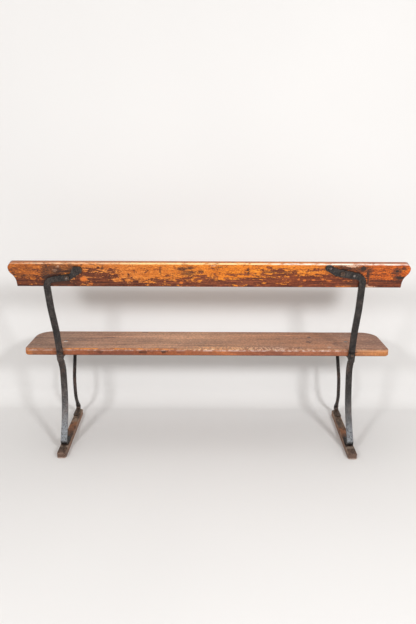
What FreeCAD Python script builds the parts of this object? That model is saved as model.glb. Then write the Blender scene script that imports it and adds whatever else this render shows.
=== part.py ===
import FreeCAD, Part
import math
import os
from FreeCAD import Placement, Rotation, Vector

os.makedirs("parts", exist_ok=True)

# A plank bench: a seat board and a back rail carried by two forged iron side frames on wooden runners.
# Millimetres, +Z up from the floor. The bench faces +Y, so its back is on the -Y side.
# While it is built, X is measured from the middle between the side frames, and Y from the seat's rear edge.
# The finished pieces are moved so that the origin is the middle of the whole bench on the floor.

# Overall sizes
FRAME_SPACING = 1195.0
FRAME_RACK = 1.1         # degrees that both side frames lean to the left on their way up
SEAT_LENGTH = 1500.0
SEAT_DEPTH = 229.0
SEAT_HEIGHT = 406.0
RAIL_LENGTH = 1508.0
RAIL_HEIGHT = 101.0
RAIL_RISE = 284.7        # from the seat's top to the rail's lower rear arris
RAIL_SETBACK = 102.4     # from the seat's rear edge back to that arris
RAIL_LEAN = 15.0         # degrees from upright

# The boards sit a little to the right of the frames' middle
SEAT_SHIFT = 4.5
RAIL_SHIFT = 11.7

# Seat board
SEAT_THICKNESS = 31.0
SEAT_FRONT_TAPER = 4.0   # each end runs in by this much on its way to the front
SEAT_FRONT_CORNER = 70.0
SEAT_REAR_CORNER = 20.0
SEAT_TOP_ROUND = 9.0
SEAT_UNDER_CHAMFER = 4.0

# Back rail
RAIL_THICKNESS = 25.0
RAIL_TOP_ROUND = 7.0
RAIL_FOOT_ROUND = 3.0
RAIL_BEVEL_HEIGHT = 25.0
RAIL_BEVEL_DEPTH = 2.4
OGEE_CORNER = 22.5       # radius of the end's upper corner
OGEE_TOE = 19.0          # upright stretch at the foot of the end
OGEE_TURN = 45.0         # degrees that the nose turns in before the cove turns it back
OGEE_NOSE_SHARE = 0.40   # nose radius as a share of nose and cove together

# Flat iron bar of the back, rear leg and bearer
BAR_WIDTH = 25.4
BAR_THICKNESS = 8.0
BACK_BEND_RADIUS = 260.0
SEAT_LEAN = 14.5         # degrees from upright where the bars pass the seat
BACK_UPPER_BEND_SHARE = 0.682   # heights of the back's two bends, as shares of RAIL_RISE
BACK_LOWER_BEND_SHARE = 0.288

# Bracket arms on the back of the rail
ARM_REACH_LEFT = 139.0
ARM_REACH_RIGHT = 146.0

# Where each strap turns into its arm: height of the corner on the strap's outer and on its inner edge,
# and the radius it is bent to, as shares of the rail's height
LEFT_ELBOW_SHARES = (0.39, 0.42)
LEFT_THROAT_SHARES = (0.22, 0.18)
RIGHT_ELBOW_SHARES = (0.57, 0.42)
RIGHT_THROAT_SHARES = (0.38, 0.14)

# Corners of each arm from its top edge round its tip to its lower edge: inboard as a share of the
# arm's reach, upward as a share of the rail's height, and the corner's radius as a share of that height too
LEFT_ARM_SHARES = [(0.67, 0.57, 0.10), (0.77, 0.87, 0.09), (1.00, 0.87, 0.09), (1.00, 0.66, 0.06),
                   (0.64, 0.31, 0.14)]
RIGHT_ARM_SHARES = [(0.70, 0.83, 0.20), (0.86, 0.97, 0.10), (1.00, 0.95, 0.10), (1.00, 0.79, 0.05),
                    (0.71, 0.53, 0.12)]

# Fixings of each arm in the same shares, from the strap inboard: screw, bolt, screw
LEFT_FIXING_SHARES = [(0.27, 0.37), (0.58, 0.44), (0.87, 0.72)]
RIGHT_FIXING_SHARES = [(0.24, 0.55), (0.55, 0.64), (0.87, 0.85)]

# Lap of back bar and rear leg behind the seat's edge
LAP_ABOVE_TENON = 27.0
LAP_BELOW_TENON = 8.0
LAP_END_GAP = 0.5
JOGGLE_LENGTH = 12.0
JOGGLE_RADIUS = 10.0
RIVET_ABOVE_TENON = 18.5

# Rear leg
LEG_TUCK = 11.0          # how far each leg leans inboard on its way down
HEEL_REACH = 117.0       # from the seat's rear edge back to the corner of the heel
HEEL_RADIUS = 11.0
REAR_FOOT_LENGTH = 73.0  # from the corner of the heel forward
KNEE_SHARE = 0.819       # heights of the bends, as shares of the height between runner and seat
SHIN_SHARE = 0.371
SHIN_REACH_SHARE = 0.14  # how far back the shin bend lies, as a share of the heel's reach
KNEE_RADIUS = 80.0
SHIN_RADIUS = 380.0

# Bearer under the seat
BEARER_END_SETBACK = 18.0    # from the seat's front edge
BEARER_TOE_IN = 16.0
TENON_DIAMETER = 7.0
TENON_HEAD_DIAMETER = 13.0
TENON_HEAD_HEIGHT = 2.2
SHOULDER_GAP = 0.1

# Front leg
ROD_DIAMETER = 15.0
LEG_SETBACK = 35.0       # of its top from the seat's front edge
LEG_TOP_INSET = 19.0     # of its top, inboard of the strap's middle
LEG_WAIST_INSET = 5.0
LEG_ANKLE_INSET = 0.5
LEG_WAIST_BACK = 14.0    # rearward bow at the waist, from the leg's top
LEG_ANKLE_FORWARD = 2.0
LEG_TOE_FORWARD = 46.0
WAIST_SHARE = 0.50       # heights as shares of the height between runner and seat
ANKLE_SHARE = 0.22
WAIST_RADIUS = 250.0
ANKLE_RADIUS = 150.0
PALM_WIDTH = 24.0
PALM_THICKNESS = 6.0
PALM_BEND_RADIUS = 9.0
PALM_LENGTH = 62.0       # from the corner of its bend
PALM_FLATTEN_LENGTH = 26.0   # stretch over which the round bar goes flat
FOOT_WIDTH = 19.0
FOOT_THICKNESS = 8.0
FOOT_BEND_RADIUS = 11.0
FRONT_FOOT_LENGTH = 80.0
FOOT_FLATTEN_LENGTH = 22.0

# Runner
RUNNER_HEIGHT = 22.0
RUNNER_BACK = 174.0
RUNNER_FRONT_MARGIN = 9.0    # beyond the seat's front edge
RUNNER_REAR_WIDTH = 36.5
RUNNER_FRONT_WIDTH = 29.5
RUNNER_REAR_OUTSIDE = 5.0    # of its outer side, outboard of the strap's middle
RUNNER_FRONT_OUTSIDE = 10.0
RUNNER_CORNER = 9.0
RUNNER_CHAMFER = 2.5

# Fasteners
BOLT_DIAMETER = 8.0
BOLT_HEAD_DIAMETER = 20.0
RAIL_BOLT_HEAD_HEIGHT = 4.0
SEAT_BOLT_HEAD_HEIGHT = 3.5
COUNTERBORE_DIAMETER = 24.0
COUNTERBORE_DEPTH = 2.5
SEAT_BOLT_SHARE = 0.75       # of the way from the seat's rear edge to the palm's end
SEAT_BOLT_OUTBOARD = 4.5     # from the bearer's middle
NUT_WIDTH = 15.0
NUT_THICKNESS = 6.0
BOLT_END = 3.0
SCREW_DIAMETER = 5.0
SCREW_HEAD_DIAMETER = 10.0
SCREW_HEAD_HEIGHT = 3.0
RAIL_SCREW_BITE = 16.0       # depth in the wood
SEAT_SCREW_BITE = 18.0
RUNNER_SCREW_BITE = 14.0
RIVET_DIAMETER = 8.0
RIVET_HEAD_DIAMETER = 12.0
RIVET_HEAD_HEIGHT = 2.5
REAR_FOOT_SCREW_SHARES = (0.42, 0.80)    # along the foot from the corner of the heel
FRONT_FOOT_SCREW_SHARES = (0.68,)
PALM_SCREW_SHARES = (0.42, 0.80)

# Clearances
BOLT_CLEARANCE = 0.3
WOOD_CLEARANCE = 0.1
THREAD_CLEARANCE = 0.1
PILOT_END = 1.0
OVERRUN = 5.0
TIP_RADIUS_SHARE = 0.3       # of a flat bar's width, where its end is rounded

# Heights and places worked out from the sizes above
SEAT_UNDERSIDE = SEAT_HEIGHT - SEAT_THICKNESS
LEG_ROOM = SEAT_UNDERSIDE - RUNNER_HEIGHT
TENON_HEIGHT = SEAT_UNDERSIDE - BAR_THICKNESS / 2
RAIL_BASE = SEAT_HEIGHT + RAIL_RISE
RUNNER_FRONT = SEAT_DEPTH + RUNNER_FRONT_MARGIN
BEARER_END = SEAT_DEPTH - BEARER_END_SETBACK
LEG_TOP = SEAT_DEPTH - LEG_SETBACK
SEAT_BOLT_FORWARD = SEAT_BOLT_SHARE * (LEG_TOP - PALM_LENGTH)
STRAP_X = FRAME_SPACING / 2

SIDES = {"left": -1, "right": 1}
X_AXIS = Vector(1, 0, 0)
Z_AXIS = Vector(0, 0, 1)
lean = math.radians(RAIL_LEAN)
RAIL_UP = Vector(0, -math.sin(lean), math.cos(lean))
RAIL_FRONT = Vector(0, math.cos(lean), math.sin(lean))
RAIL_CORNER = Vector(0, -RAIL_SETBACK, RAIL_BASE)
RACK_SLOPE = math.tan(math.radians(FRAME_RACK))
slope = math.radians(SEAT_LEAN)
LAP_UP = Vector(0, -math.sin(slope), math.cos(slope))
LAP_FRONT = Vector(0, math.cos(slope), math.sin(slope))


def corner_arc(before, corner, after, radius):
    """Start, middle and end of the arc that rounds a corner."""
    back = (before - corner).normalize()
    on = (after - corner).normalize()
    half = back.getAngle(on) / 2
    reach = radius / math.tan(half)
    middle = corner + (back + on).normalize() * (radius / math.sin(half) - radius)
    return corner + back * reach, middle, corner + on * reach


def rounded_path(points, radii):
    """Wire through points, with each inner corner rounded to its radius."""
    edges = []
    last = points[0]
    for before, corner, after, radius in zip(points, points[1:], points[2:], radii):
        start, middle, end = corner_arc(before, corner, after, radius)
        edges.append(Part.LineSegment(last, start).toShape())
        edges.append(Part.Arc(start, middle, end).toShape())
        last = end
    edges.append(Part.LineSegment(last, points[-1]).toShape())
    return Part.Wire(edges)


def rounded_loop(points, radii):
    """Closed wire through points, with corners rounded where the radius isn't zero."""
    corners = []
    for index, (corner, radius) in enumerate(zip(points, radii)):
        before = points[index - 1]
        after = points[(index + 1) % len(points)]
        if radius > 0:
            corners.append(corner_arc(before, corner, after, radius))
        else:
            corners.append((corner, corner, corner))
    edges = []
    for index, (start, middle, end) in enumerate(corners):
        if start != end:
            edges.append(Part.Arc(start, middle, end).toShape())
        following = corners[(index + 1) % len(corners)][0]
        if not end.isEqual(following, Part.Precision.confusion()):
            edges.append(Part.LineSegment(end, following).toShape())
    return Part.Wire(edges)


def bar_section(centre, along, width, thickness):
    """Rectangle across a bar at centre, its width kept along X."""
    across = X_AXIS.cross(along).normalize()
    side = X_AXIS * (width / 2)
    face = across * (thickness / 2)
    corners = [centre + side + face, centre - side + face, centre - side - face, centre + side - face]
    return Part.makePolygon(corners + corners[:1])


def flat_bar(points, radii, width, thickness):
    """Flat bar swept along a rounded path, its width always along X."""
    sweep = Part.BRepOffsetAPI.MakePipeShell(rounded_path(points, radii))
    sweep.setBiNormalMode(X_AXIS)
    sweep.add(bar_section(points[0], points[1] - points[0], width, thickness))
    sweep.build()
    sweep.makeSolid()
    return sweep.shape()


def round_tip(bar, before, tip, width, thickness):
    """Round the two corners of a flat bar's end, which lies at tip on the line from before."""
    run = Vector(0, tip.y - before.y, tip.z - before.z).normalize()
    radius = width * TIP_RADIUS_SHARE
    side = X_AXIS * (width / 2)
    wide = X_AXIS * (width / 2 + OVERRUN)
    root = tip - run * radius
    past = tip + run * OVERRUN
    depth = run.cross(X_AXIS) * (2 * thickness)
    tongue = rounded_loop([root - side, tip - side, tip + side, root + side], [0, radius, radius, 0])
    block = rounded_loop([root - wide, past - wide, past + wide, root + wide], [0, 0, 0, 0])
    cutter = Part.Face(block).extrude(depth).cut(Part.Face(tongue).extrude(depth))
    cutter.translate(depth * -0.5)
    return bar.cut(cutter)


def cylinder(start, end, diameter):
    along = end - start
    return Part.makeCylinder(diameter / 2, along.Length, start, along)


def bore(start, end, diameter):
    """Cutter that runs past both of its ends."""
    past = (end - start).normalize() * OVERRUN
    return cylinder(start - past, end + past, diameter)


def dome(diameter, height):
    """Spherical cap that stands on the XY plane."""
    radius = (diameter * diameter / 4 + height * height) / (2 * height)
    ball = Part.makeSphere(radius, Vector(0, 0, height - radius))
    return ball.common(Part.makeCylinder(diameter, height, Vector(0, 0, 0)))


def stand(shape, base, up):
    """Place a shape made on the XY plane with its base at a point and its Z axis along up."""
    placed = shape.copy()
    placed.Placement = Placement(base, Rotation(Z_AXIS, up))
    return placed


def wood_screw(base, out, grip, bite):
    """Head standing on base, shank through the iron's grip and on into the wood."""
    depth = grip + bite
    shank = Part.makeCylinder(SCREW_DIAMETER / 2, depth, Vector(0, 0, -depth))
    head = Part.makeCone(SCREW_HEAD_DIAMETER / 2, SCREW_DIAMETER / 2, SCREW_HEAD_HEIGHT)
    return stand(head.fuse(shank), base, out)


def pilot_hole(base, out, depth):
    return cylinder(base + out * OVERRUN, base - out * (depth + PILOT_END), SCREW_DIAMETER + 2 * WOOD_CLEARANCE)


def clearance_hole(base, out, grip, diameter):
    return bore(base, base - out * grip, diameter + 2 * BOLT_CLEARANCE)


def domed_bolt(base, out, grip, head_height):
    """Domed head on base, shank through the grip, a nut's thickness and a short end beyond."""
    length = grip + NUT_THICKNESS + BOLT_END
    head = dome(BOLT_HEAD_DIAMETER, head_height)
    shank = Part.makeCylinder(BOLT_DIAMETER / 2, length, Vector(0, 0, -length))
    return stand(head.fuse(shank).removeSplitter(), base, out)


def square_nut(base, out):
    """Nut that stands on base, with its bore clear of the bolt."""
    blank = Part.makeBox(NUT_WIDTH, NUT_WIDTH, NUT_THICKNESS, Vector(-NUT_WIDTH / 2, -NUT_WIDTH / 2, 0))
    hole = Part.makeCylinder(BOLT_DIAMETER / 2 + THREAD_CLEARANCE, NUT_THICKNESS)
    return stand(blank.cut(hole), base, out)


# Places shared by the pieces that meet there

def lap_point(above, behind):
    """Point on the lap's slope: distance above the tenon, and behind the back bar's front face."""
    contact = Vector(0, 0, SEAT_UNDERSIDE + SEAT_UNDER_CHAMFER)
    to_tenon = (TENON_HEIGHT - contact.z) / LAP_UP.z
    return contact + LAP_UP * (to_tenon + above) - LAP_FRONT * behind


def lap_point_at_height(height, behind):
    start = lap_point(0, behind)
    return start + LAP_UP * ((height - start.z) / LAP_UP.z)


def rail_plane_point(x, up, behind):
    """Point up the rail from its lower rear arris, and behind its rear face."""
    return RAIL_CORNER + X_AXIS * x + RAIL_UP * up - RAIL_FRONT * behind


def at_x(point, x):
    return Vector(x, point.y, point.z)


def strap_x(side, height):
    """Middle of a side frame's straps, which lean to the left above and below the lap."""
    return side * STRAP_X + (SEAT_UNDERSIDE - height) * RACK_SLOPE


def bearer_x(side, forward):
    """Middle of the bearer, which toes inboard on its way to the front."""
    return side * (STRAP_X - BEARER_TOE_IN * forward / BEARER_END)


def arm_place(name, share):
    """Point on an arm's rear face from shares of the arm's reach and of the rail's height."""
    reach = {"left": ARM_REACH_LEFT, "right": ARM_REACH_RIGHT}[name]
    x = strap_x(SIDES[name], RAIL_BASE) - SIDES[name] * share[0] * reach
    return rail_plane_point(x, share[1] * RAIL_HEIGHT, BAR_THICKNESS)


def fixings(name):
    return [arm_place(name, share) for share in {"left": LEFT_FIXING_SHARES, "right": RIGHT_FIXING_SHARES}[name]]


def leg_x(side, height):
    """Middle of the rear leg, which tucks inboard below the lap."""
    drop = (TENON_HEIGHT - height) / (TENON_HEIGHT - RUNNER_HEIGHT)
    return strap_x(side, height) - side * LEG_TUCK * drop


def rear_leg_points(side):
    """Middle line of the rear leg from its tongue to the end of its foot, and the radii of its bends."""
    behind = BAR_THICKNESS * 1.5
    in_line = BAR_THICKNESS / 2
    bend_reach = JOGGLE_RADIUS * math.tan(math.atan2(BAR_THICKNESS, JOGGLE_LENGTH) / 2)
    low = LAP_BELOW_TENON + LAP_END_GAP + bend_reach
    foot_level = RUNNER_HEIGHT + BAR_THICKNESS / 2
    knee_height = RUNNER_HEIGHT + KNEE_SHARE * LEG_ROOM
    shin_height = RUNNER_HEIGHT + SHIN_SHARE * LEG_ROOM
    heel_x = leg_x(side, foot_level)
    points = [at_x(lap_point(LAP_ABOVE_TENON, behind), side * STRAP_X),
              at_x(lap_point(-low, behind), side * STRAP_X),
              at_x(lap_point(-low - JOGGLE_LENGTH, in_line), side * STRAP_X),
              at_x(lap_point_at_height(knee_height, in_line), leg_x(side, knee_height)),
              Vector(leg_x(side, shin_height), -SHIN_REACH_SHARE * HEEL_REACH, shin_height),
              Vector(heel_x, -HEEL_REACH, foot_level),
              Vector(heel_x, REAR_FOOT_LENGTH - HEEL_REACH, foot_level)]
    return points, [JOGGLE_RADIUS, JOGGLE_RADIUS, KNEE_RADIUS, SHIN_RADIUS, HEEL_RADIUS]


def front_leg_points(side):
    """Middle line of the front leg from the rear end of its palm to the rear end of its foot."""
    palm_level = SEAT_UNDERSIDE - BAR_THICKNESS - PALM_THICKNESS / 2
    foot_level = RUNNER_HEIGHT + FOOT_THICKNESS / 2
    waist_level = RUNNER_HEIGHT + WAIST_SHARE * LEG_ROOM
    ankle_level = RUNNER_HEIGHT + ANKLE_SHARE * LEG_ROOM
    toe = LEG_TOP + LEG_TOE_FORWARD
    top_x = side * (STRAP_X - LEG_TOP_INSET)
    palm_out = bearer_x(side, LEG_TOP - PALM_LENGTH) - bearer_x(side, LEG_TOP)
    waist_x = strap_x(side, waist_level) - side * LEG_WAIST_INSET
    ankle_x = strap_x(side, ankle_level) - side * LEG_ANKLE_INSET
    toe_x = strap_x(side, foot_level) - side * LEG_ANKLE_INSET
    return [Vector(top_x + palm_out, LEG_TOP - PALM_LENGTH, palm_level),
            Vector(top_x, LEG_TOP, palm_level),
            Vector(waist_x, LEG_TOP - LEG_WAIST_BACK, waist_level),
            Vector(ankle_x, LEG_TOP + LEG_ANKLE_FORWARD, ankle_level),
            Vector(toe_x, toe, foot_level),
            Vector(toe_x, toe - FRONT_FOOT_LENGTH, foot_level)]


def along(start, end, share):
    return start + (end - start) * share


def palm_screw_bases(side):
    """Undersides of the palm where its screws' heads sit."""
    points = front_leg_points(side)
    drop = Z_AXIS * (PALM_THICKNESS / 2)
    return [along(points[1], points[0], share) - drop for share in PALM_SCREW_SHARES]


def rear_foot_screw_bases(side):
    points = rear_leg_points(side)[0]
    rise = Z_AXIS * (BAR_THICKNESS / 2)
    return [along(points[-2], points[-1], share) + rise for share in REAR_FOOT_SCREW_SHARES]


def front_foot_screw_bases(side):
    points = front_leg_points(side)
    rise = Z_AXIS * (FOOT_THICKNESS / 2)
    return [along(points[-2], points[-1], share) + rise for share in FRONT_FOOT_SCREW_SHARES]


def seat_bolt_place(side):
    """Where the seat bolt's head sits, at the bottom of its counterbore."""
    x = bearer_x(side, SEAT_BOLT_FORWARD) + side * SEAT_BOLT_OUTBOARD
    return Vector(x, SEAT_BOLT_FORWARD, SEAT_HEIGHT - COUNTERBORE_DEPTH)


# Wood

def seat_board():
    left = SEAT_SHIFT - SEAT_LENGTH / 2
    right = SEAT_SHIFT + SEAT_LENGTH / 2
    outline = rounded_loop([Vector(left, 0, SEAT_UNDERSIDE), Vector(right, 0, SEAT_UNDERSIDE),
                            Vector(right - SEAT_FRONT_TAPER, SEAT_DEPTH, SEAT_UNDERSIDE),
                            Vector(left + SEAT_FRONT_TAPER, SEAT_DEPTH, SEAT_UNDERSIDE)],
                           [SEAT_REAR_CORNER, SEAT_REAR_CORNER, SEAT_FRONT_CORNER, SEAT_FRONT_CORNER])
    board = Part.Face(outline).extrude(Z_AXIS * SEAT_THICKNESS)
    board = board.makeFillet(SEAT_TOP_ROUND, edges_at_height(board, SEAT_HEIGHT))
    board = board.makeChamfer(SEAT_UNDER_CHAMFER, edges_at_height(board, SEAT_UNDERSIDE))
    for side in SIDES.values():
        head = seat_bolt_place(side)
        board = board.cut(cylinder(head, head + Z_AXIS * (COUNTERBORE_DEPTH + OVERRUN), COUNTERBORE_DIAMETER))
        board = board.cut(clearance_hole(head, Z_AXIS, SEAT_THICKNESS, BOLT_DIAMETER))
        for base in palm_screw_bases(side):
            board = board.cut(pilot_hole(base, -Z_AXIS, PALM_THICKNESS + BAR_THICKNESS + SEAT_SCREW_BITE))
    return board


def edges_at_height(solid, height):
    near = Part.Precision.confusion()
    return [edge for edge in solid.Edges if abs(edge.BoundBox.ZMin - height) < near and edge.BoundBox.ZLength < near]


def ogee_end(sign):
    """End of the rail's outline from the top down: corner, nose and cove, as edges and its last point."""
    end = RAIL_LENGTH / 2
    turn = math.radians(OGEE_TURN)
    drop = RAIL_HEIGHT - OGEE_CORNER - OGEE_TOE
    both = drop / math.sin(turn)
    nose = both * OGEE_NOSE_SHARE
    cove = both - nose

    def place(inset, height):
        return Vector(sign * (end - inset), 0, height)

    def on_arc(centre_inset, centre_height, radius, degrees):
        angle = math.radians(degrees)
        return place(centre_inset - radius * math.cos(angle), centre_height + radius * math.sin(angle))

    shoulder = RAIL_HEIGHT - OGEE_CORNER
    cove_inset = nose - both * math.cos(turn)
    corner = Part.Arc(on_arc(OGEE_CORNER, shoulder, OGEE_CORNER, 90), on_arc(OGEE_CORNER, shoulder, OGEE_CORNER, 45),
                      place(0, shoulder))
    join = on_arc(nose, shoulder, nose, -OGEE_TURN)
    nose_arc = Part.Arc(place(0, shoulder), on_arc(nose, shoulder, nose, -OGEE_TURN / 2), join)
    foot = place(cove_inset + cove, OGEE_TOE)
    cove_arc = Part.Arc(join, on_arc(cove_inset, OGEE_TOE, cove, 180 - OGEE_TURN / 2), foot)
    base = place(cove_inset + cove, 0)
    edges = [corner.toShape(), nose_arc.toShape(), cove_arc.toShape(), Part.LineSegment(foot, base).toShape()]
    return edges, place(OGEE_CORNER, RAIL_HEIGHT), base


def back_rail():
    left, left_top, left_base = ogee_end(-1)
    right, right_top, right_base = ogee_end(1)
    outline = Part.Wire(Part.__sortEdges__(left + right + [Part.LineSegment(left_top, right_top).toShape(),
                                                           Part.LineSegment(left_base, right_base).toShape()]))
    slab = Part.Face(outline).extrude(Vector(0, RAIL_THICKNESS, 0))
    start = -RAIL_LENGTH / 2 - OVERRUN
    section = rounded_loop([Vector(start, RAIL_BEVEL_DEPTH, 0), Vector(start, 0, RAIL_BEVEL_HEIGHT),
                            Vector(start, 0, RAIL_HEIGHT), Vector(start, RAIL_THICKNESS, RAIL_HEIGHT),
                            Vector(start, RAIL_THICKNESS, 0)],
                           [RAIL_FOOT_ROUND, 0, RAIL_TOP_ROUND, RAIL_TOP_ROUND, RAIL_FOOT_ROUND])
    moulding = Part.Face(section).extrude(X_AXIS * (RAIL_LENGTH + 2 * OVERRUN))
    board = slab.common(moulding)
    board.Placement = Placement(RAIL_CORNER + X_AXIS * RAIL_SHIFT, Rotation(X_AXIS, RAIL_LEAN))
    for name in SIDES:
        inner, bolt, outer = fixings(name)
        board = board.cut(clearance_hole(bolt, -RAIL_FRONT, BAR_THICKNESS + RAIL_THICKNESS, BOLT_DIAMETER))
        for base in (inner, outer):
            board = board.cut(pilot_hole(base, -RAIL_FRONT, BAR_THICKNESS + RAIL_SCREW_BITE))
    return board


def runner(side):
    under_frame = strap_x(side, RUNNER_HEIGHT)
    outer_rear = under_frame + side * RUNNER_REAR_OUTSIDE
    outer_front = under_frame + side * RUNNER_FRONT_OUTSIDE
    outline = rounded_loop([Vector(outer_rear, -RUNNER_BACK, 0),
                            Vector(outer_front, RUNNER_FRONT, 0),
                            Vector(outer_front - side * RUNNER_FRONT_WIDTH, RUNNER_FRONT, 0),
                            Vector(outer_rear - side * RUNNER_REAR_WIDTH, -RUNNER_BACK, 0)],
                           [RUNNER_CORNER] * 4)
    block = Part.Face(outline).extrude(Z_AXIS * RUNNER_HEIGHT)
    block = block.makeChamfer(RUNNER_CHAMFER, edges_at_height(block, RUNNER_HEIGHT))
    for base in rear_foot_screw_bases(side):
        block = block.cut(pilot_hole(base, Z_AXIS, BAR_THICKNESS + RUNNER_SCREW_BITE))
    for base in front_foot_screw_bases(side):
        block = block.cut(pilot_hole(base, Z_AXIS, FOOT_THICKNESS + RUNNER_SCREW_BITE))
    return block


# Iron bars

def arm_outline(name):
    """Outline of a bracket arm on the rail's rear face, from the strap's outer side round to its inner side."""
    side = SIDES[name]
    x = strap_x(side, RAIL_BASE)
    outer = x + side * BAR_WIDTH / 2
    inner = x - side * BAR_WIDTH / 2
    shares = {"left": LEFT_ARM_SHARES, "right": RIGHT_ARM_SHARES}[name]
    elbow = {"left": LEFT_ELBOW_SHARES, "right": RIGHT_ELBOW_SHARES}[name]
    throat = {"left": LEFT_THROAT_SHARES, "right": RIGHT_THROAT_SHARES}[name]
    points = [rail_plane_point(outer, 0, BAR_THICKNESS),
              rail_plane_point(outer, elbow[0] * RAIL_HEIGHT, BAR_THICKNESS)]
    points += [arm_place(name, share) for share in shares]
    points += [rail_plane_point(inner, throat[0] * RAIL_HEIGHT, BAR_THICKNESS),
               rail_plane_point(inner, 0, BAR_THICKNESS)]
    rounds = [elbow[1]] + [share[2] for share in shares] + [throat[1]]
    return rounded_loop(points, [0] + [share * RAIL_HEIGHT for share in rounds] + [0])


def back_bar(name):
    """Strap from the lap behind the seat up to the rail, with the bracket arm forged at its top."""
    side = SIDES[name]
    middle = BAR_THICKNESS / 2
    lower = lap_point_at_height(SEAT_HEIGHT + BACK_LOWER_BEND_SHARE * RAIL_RISE, middle)
    rail_end = rail_plane_point(0, 0, middle)
    upper_height = SEAT_HEIGHT + BACK_UPPER_BEND_SHARE * RAIL_RISE
    upper = rail_end + RAIL_UP * ((upper_height - rail_end.z) / RAIL_UP.z)
    points = [at_x(lap_point(-LAP_BELOW_TENON, middle), side * STRAP_X)]
    points += [at_x(point, strap_x(side, point.z)) for point in (lower, upper, rail_end)]
    strap = flat_bar(points, [BACK_BEND_RADIUS] * 2, BAR_WIDTH, BAR_THICKNESS)
    arm = Part.Face(arm_outline(name)).extrude(RAIL_FRONT * BAR_THICKNESS)
    bar = strap.fuse(arm).removeSplitter()
    for index, base in enumerate(fixings(name)):
        diameter = BOLT_DIAMETER if index == 1 else SCREW_DIAMETER
        bar = bar.cut(clearance_hole(base, -RAIL_FRONT, BAR_THICKNESS, diameter))
    return bar.cut(lap_holes(side))


def lap_holes(side):
    """Holes through both lapped bars for the bearer's tenon and the rivet."""
    x = side * STRAP_X
    tenon = at_x(lap_point(0, 0), x)
    reach = Vector(0, 3 * BAR_THICKNESS, 0)
    rivet = at_x(lap_point(RIVET_ABOVE_TENON, 0), x)
    return [bore(tenon, tenon - reach, TENON_DIAMETER + 2 * WOOD_CLEARANCE),
            bore(rivet, rivet - LAP_FRONT * (2 * BAR_THICKNESS), RIVET_DIAMETER + 2 * WOOD_CLEARANCE)]


def rear_leg(name):
    side = SIDES[name]
    points, radii = rear_leg_points(side)
    leg = flat_bar(points, radii, BAR_WIDTH, BAR_THICKNESS)
    leg = round_tip(leg, points[-2], points[-1], BAR_WIDTH, BAR_THICKNESS)
    leg = round_tip(leg, points[1], points[0], BAR_WIDTH, BAR_THICKNESS)
    for base in rear_foot_screw_bases(side):
        leg = leg.cut(clearance_hole(base, Z_AXIS, BAR_THICKNESS, SCREW_DIAMETER))
    return leg.cut(lap_holes(side))


def bearer(name):
    """Flat bar under the seat. Its tenon passes through both lapped bars and is peened over behind them."""
    side = SIDES[name]
    shoulder = lap_point(0, 0)
    start = Vector(bearer_x(side, -OVERRUN), -OVERRUN, TENON_HEIGHT)
    end = Vector(bearer_x(side, BEARER_END), BEARER_END, TENON_HEIGHT)
    bar = flat_bar([start, end], [], BAR_WIDTH, BAR_THICKNESS)
    bar = round_tip(bar, start, end, BAR_WIDTH, BAR_THICKNESS)
    face = Vector(side * STRAP_X, shoulder.y, shoulder.z)
    behind = stand(Part.makeBox(4 * BAR_WIDTH, 4 * BAR_WIDTH, BAR_WIDTH,
                                Vector(-2 * BAR_WIDTH, -2 * BAR_WIDTH, -BAR_WIDTH)),
                   face + LAP_FRONT * SHOULDER_GAP, LAP_FRONT)
    bar = bar.cut(behind)
    for base in palm_screw_bases(side):
        bar = bar.cut(clearance_hole(base, -Z_AXIS, PALM_THICKNESS + BAR_THICKNESS, SCREW_DIAMETER))
    bolt = seat_bolt_place(side)
    bar = bar.cut(clearance_hole(bolt, Z_AXIS, SEAT_THICKNESS + BAR_THICKNESS, BOLT_DIAMETER))
    rear_face = Vector(side * STRAP_X, 0, TENON_HEIGHT)
    rear_face.y = shoulder.y - 2 * BAR_THICKNESS / LAP_FRONT.y
    root = Vector(side * STRAP_X, shoulder.y + BAR_THICKNESS, TENON_HEIGHT)
    tenon = cylinder(rear_face, root, TENON_DIAMETER)
    peen = stand(dome(TENON_HEAD_DIAMETER, TENON_HEAD_HEIGHT), rear_face, -LAP_FRONT)
    tip = tenon.common(stand(Part.makeBox(4 * BAR_WIDTH, 4 * BAR_WIDTH, 4 * BAR_WIDTH,
                                          Vector(-2 * BAR_WIDTH, -2 * BAR_WIDTH, 0)), rear_face, LAP_FRONT))
    return bar.fuse([tip, peen]).removeSplitter()


def flatten(rod, flat, width, thickness):
    """Forged change from the round bar's end to the start of the flat: a flare hammered down on two faces."""
    run = flat - rod
    across = X_AXIS.cross(run).normalize()
    thick = across * (ROD_DIAMETER / 2)
    thin = across * (thickness / 2)
    flare = Part.makeCone(ROD_DIAMETER / 2, width / 2, run.Length, rod, run)
    outline = Part.makePolygon([rod - thick, rod + thick, flat + thin, flat - thin, rod - thick])
    faces = Part.Face(outline).extrude(X_AXIS * (2 * width))
    faces.translate(X_AXIS * -width)
    return flare.common(faces)


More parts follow.
